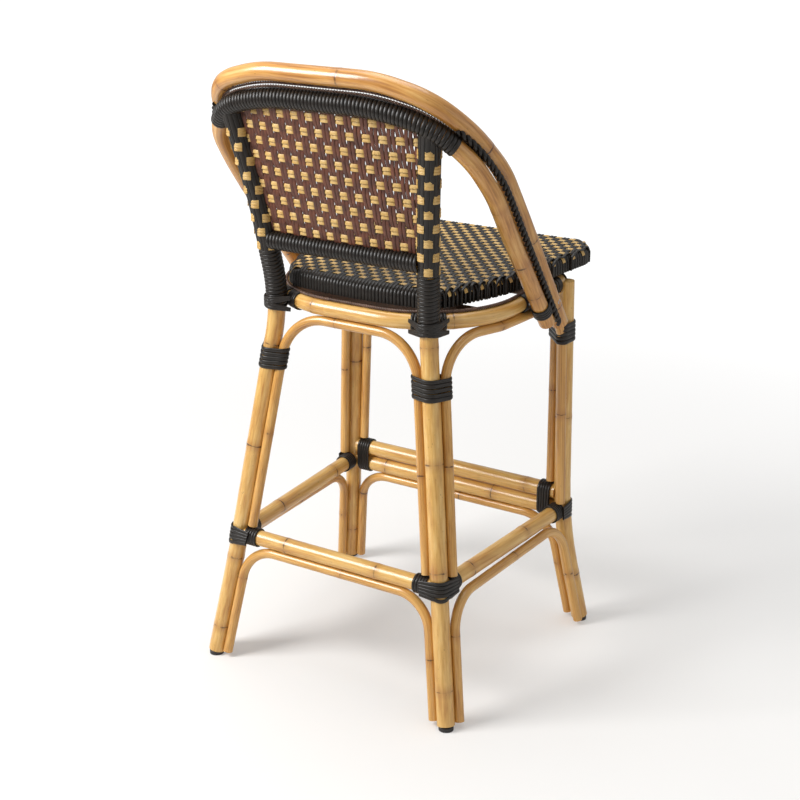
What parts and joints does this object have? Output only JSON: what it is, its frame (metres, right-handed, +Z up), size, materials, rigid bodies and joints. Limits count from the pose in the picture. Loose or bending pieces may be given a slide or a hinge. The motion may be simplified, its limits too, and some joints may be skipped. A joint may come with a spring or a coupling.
{
  "type": "bar stool with footrest",
  "caption": "Bent rattan bar stool with a woven seat, woven back panel, sloping hoop arms, splayed legs, stretchers and a double front footrest.",
  "frame": {"origin": "on the floor under the middle of the stool's overall box", "axes": "+Z up, the sitter faces -Y, +X is the sitter's left"},
  "size_m": [0.5864, 0.6039, 1.1355],
  "materials": {
    "rattan_pole": "lacquered rattan pole, semi-gloss",
    "cane_liner": "lacquered thin rattan, semi-gloss",
    "frame_wood": "planed hardwood, unfinished",
    "dark_binding": "semi-gloss dark strand",
    "seat_weave": "semi-gloss woven strand, dark and straw",
    "panel_weave": "woven strand, brown and straw",
    "brown_cord": "twisted brown cord",
    "glide": "moulded, matte",
    "steel": "zinc plated"
  },
  "bodies": {
    "root": {"arm_lash_left": "dark_binding", "arm_lash_right": "dark_binding", "arm_screws": "steel", "back_crossbar": "rattan_pole", "back_leg_left": "rattan_pole", "back_leg_right": "rattan_pole", "back_stretcher": "rattan_pole", "back_weave": "panel_weave", "crossbar_wrap": "dark_binding", "foot_glide_back_left": "glide", "foot_glide_back_right": "glide", "foot_glide_front_left": "glide", "foot_glide_front_right": "glide", "footrest_lower": "rattan_pole", "footrest_upper": "rattan_pole", "front_leg_left": "rattan_pole", "front_leg_right": "rattan_pole", "glide_nails": "steel", "hoop_cord": "dark_binding", "hoop_inner": "rattan_pole", "hoop_outer": "rattan_pole", "hoop_wrap": "dark_binding", "joint_wrap_back_left": "dark_binding", "joint_wrap_back_right": "dark_binding", "joint_wrap_front_left": "dark_binding", "joint_wrap_front_right": "dark_binding", "left_stretcher": "rattan_pole", "leg_wrap_back_left": "dark_binding", "leg_wrap_back_right": "dark_binding", "leg_wrap_front_left": "dark_binding", "leg_wrap_front_right": "dark_binding", "lower_arch_back": "cane_liner", "lower_arch_front": "cane_liner", "lower_arch_left": "cane_liner", "lower_arch_right": "cane_liner", "post_screws": "steel", "post_wrap_left": "dark_binding", "post_wrap_right": "dark_binding", "right_stretcher": "rattan_pole", "ring_lash_back_left": "dark_binding", "ring_lash_back_right": "dark_binding", "ring_lash_front_left": "dark_binding", "ring_lash_front_right": "dark_binding", "ring_screws": "steel", "seat_bearer_front": "frame_wood", "seat_bearer_rear": "frame_wood", "seat_edge_cord": "brown_cord", "seat_frame": "rattan_pole", "seat_ring": "rattan_pole", "seat_screws": "steel", "seat_slats": "frame_wood", "seat_weave": "seat_weave", "stretcher_screws": "steel", "upper_arch_back": "cane_liner", "upper_arch_front": "cane_liner", "upper_arch_left": "cane_liner", "upper_arch_right": "cane_liner"}
  },
  "joints": []
}
